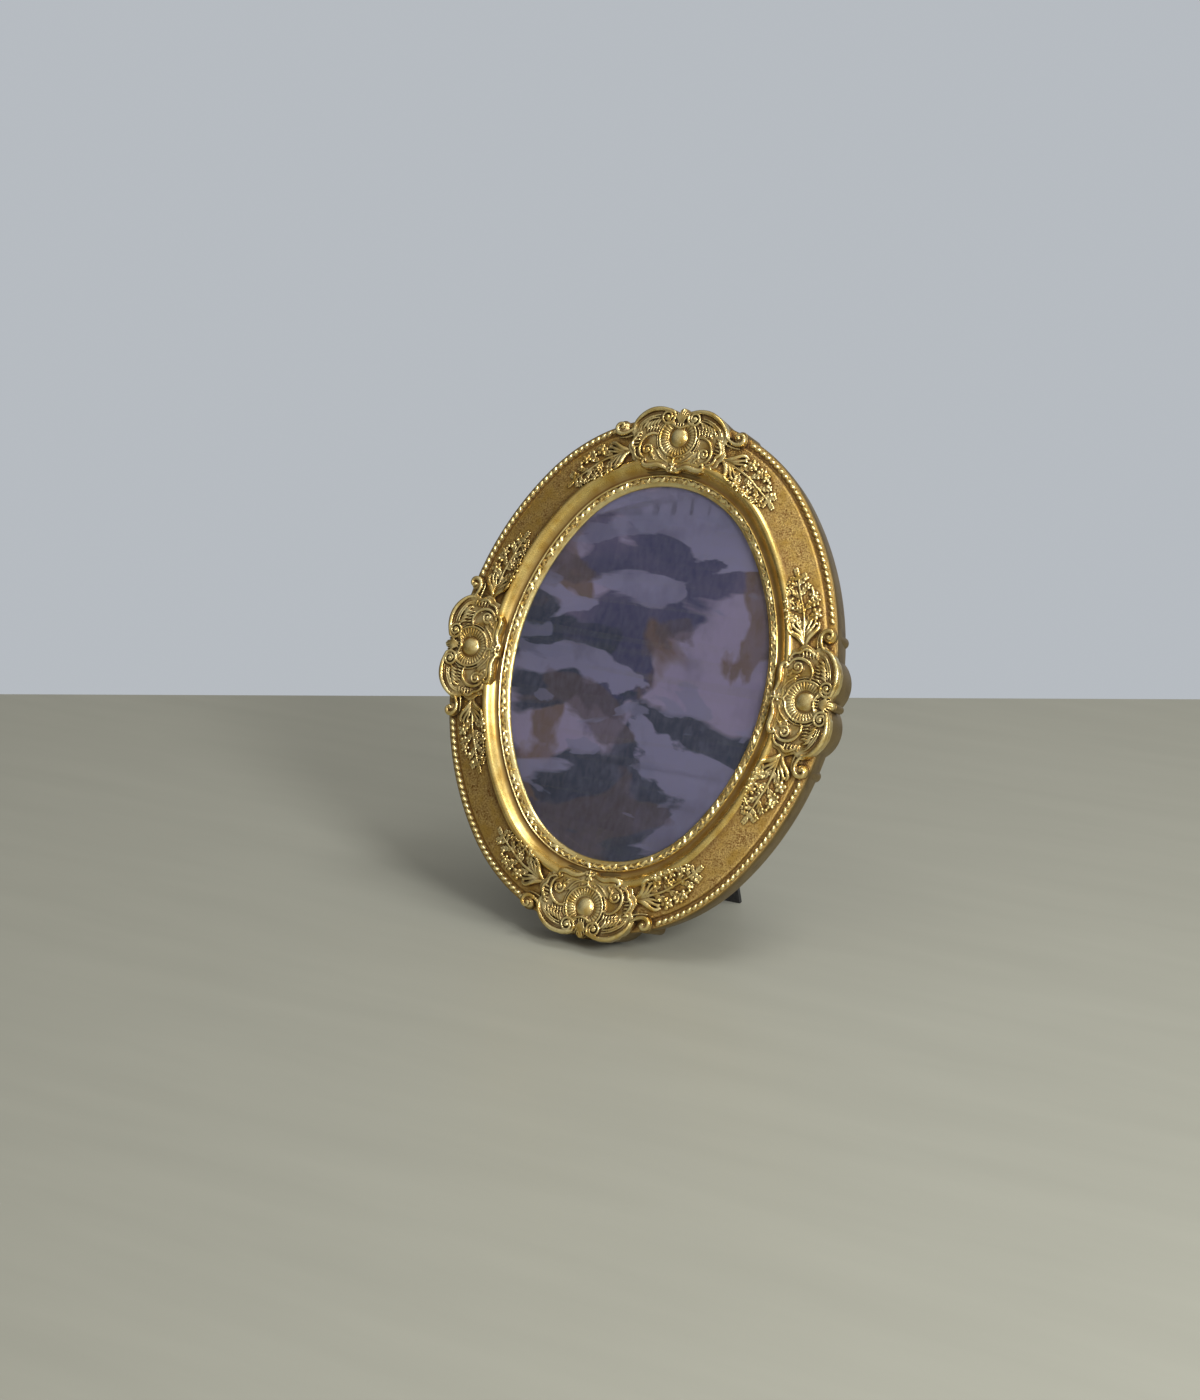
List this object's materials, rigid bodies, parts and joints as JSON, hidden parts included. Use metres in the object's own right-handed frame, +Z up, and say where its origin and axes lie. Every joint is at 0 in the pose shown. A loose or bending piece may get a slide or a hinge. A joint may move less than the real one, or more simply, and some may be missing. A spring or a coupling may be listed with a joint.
{
  "type": "oval picture frame",
  "caption": "Oval table frame with a gilded carved moulding, cartouches, floral sprays and rope edge, holding glass and print, on a hinged easel strut.",
  "frame": {"origin": "on the table, under the middle of the standing frame's box, with the easel strut open", "axes": "+X to the right as seen from the front, +Y back from the viewer towards the strut, +Z up"},
  "size_m": [0.2714, 0.157, 0.3128],
  "materials": {
    "gilded_moulding": "burnished metal leaf over red-brown bole, aged",
    "gilded_carving": "bright metal leaf with a dark wash in the recesses",
    "glass": "clear and polished",
    "print": "matt printed paper",
    "card": "plain grey-brown card",
    "black_board": "black covered board, satin",
    "steel": "zinc plated",
    "brass": "brass plated"
  },
  "bodies": {
    "frame": {"frame_moulding": "gilded_moulding", "rope_top_right": "gilded_carving", "rope_top_left": "gilded_carving", "rope_bottom_left": "gilded_carving", "rope_bottom_right": "gilded_carving", "cartouche_top": "gilded_carving", "cartouche_left": "gilded_carving", "cartouche_bottom": "gilded_carving", "cartouche_right": "gilded_carving", "spray_top_clockwise": "gilded_carving", "spray_top_anticlockwise": "gilded_carving", "spray_left_clockwise": "gilded_carving", "spray_left_anticlockwise": "gilded_carving", "spray_bottom_clockwise": "gilded_carving", "spray_bottom_anticlockwise": "gilded_carving", "spray_right_clockwise": "gilded_carving", "spray_right_anticlockwise": "gilded_carving", "glass_pane": "glass", "picture_print": "print", "backing_card": "card", "back_panel": "black_board", "hinge_fixed_leaf": "steel", "hinge_pin": "steel", "hinge_panel_rivets": "steel", "turn_button_screws": "brass", "hanger_strap": "brass", "hanger_screw": "brass"},
    "strut": {"easel_strut": "black_board", "hinge_strut_leaf": "steel", "hinge_strut_rivets": "steel"},
    "ring": {"hanger_ring": "brass"},
    "button_1": {"turn_button_1": "steel"},
    "button_2": {"turn_button_2": "steel"},
    "button_3": {"turn_button_3": "steel"},
    "button_4": {"turn_button_4": "steel"},
    "button_5": {"turn_button_5": "steel"},
    "button_6": {"turn_button_6": "steel"}
  },
  "joints": [
    {"name": "strut_hinge", "type": "hinge", "parent": "frame", "child": "strut", "pos_m": [0, 0.02236, 0.19493], "axis": [-1, 0, 0], "range_deg": [0, 26.6]},
    {"name": "ring_swing", "type": "hinge", "parent": "frame", "child": "ring", "pos_m": [0, 0.05524, 0.27005], "axis": [1, 0, 0], "range_deg": [-27, 148]},
    {"name": "button_1_turn", "type": "hinge", "parent": "frame", "child": "button_1", "pos_m": [0.0981, 0.00276, 0.15438], "axis": [0, -0.9171, 0.3987], "continuous": true},
    {"name": "button_2_turn", "type": "hinge", "parent": "frame", "child": "button_2", "pos_m": [0.06279, 0.04209, 0.24482], "axis": [0, -0.9171, 0.3987], "continuous": true},
    {"name": "button_3_turn", "type": "hinge", "parent": "frame", "child": "button_3", "pos_m": [-0.03412, 0.05086, 0.265], "axis": [0, -0.9171, 0.3987], "continuous": true},
    {"name": "button_4_turn", "type": "hinge", "parent": "frame", "child": "button_4", "pos_m": [-0.09385, 0.01716, 0.1875], "axis": [0, -0.9171, 0.3987], "continuous": true},
    {"name": "button_5_turn", "type": "hinge", "parent": "frame", "child": "button_5", "pos_m": [-0.08242, -0.02436, 0.09201], "axis": [0, -0.9171, 0.3987], "continuous": true},
    {"name": "button_6_turn", "type": "hinge", "parent": "frame", "child": "button_6", "pos_m": [-0.00124, -0.04831, 0.03692], "axis": [0, -0.9171, 0.3987], "continuous": true}
  ]
}
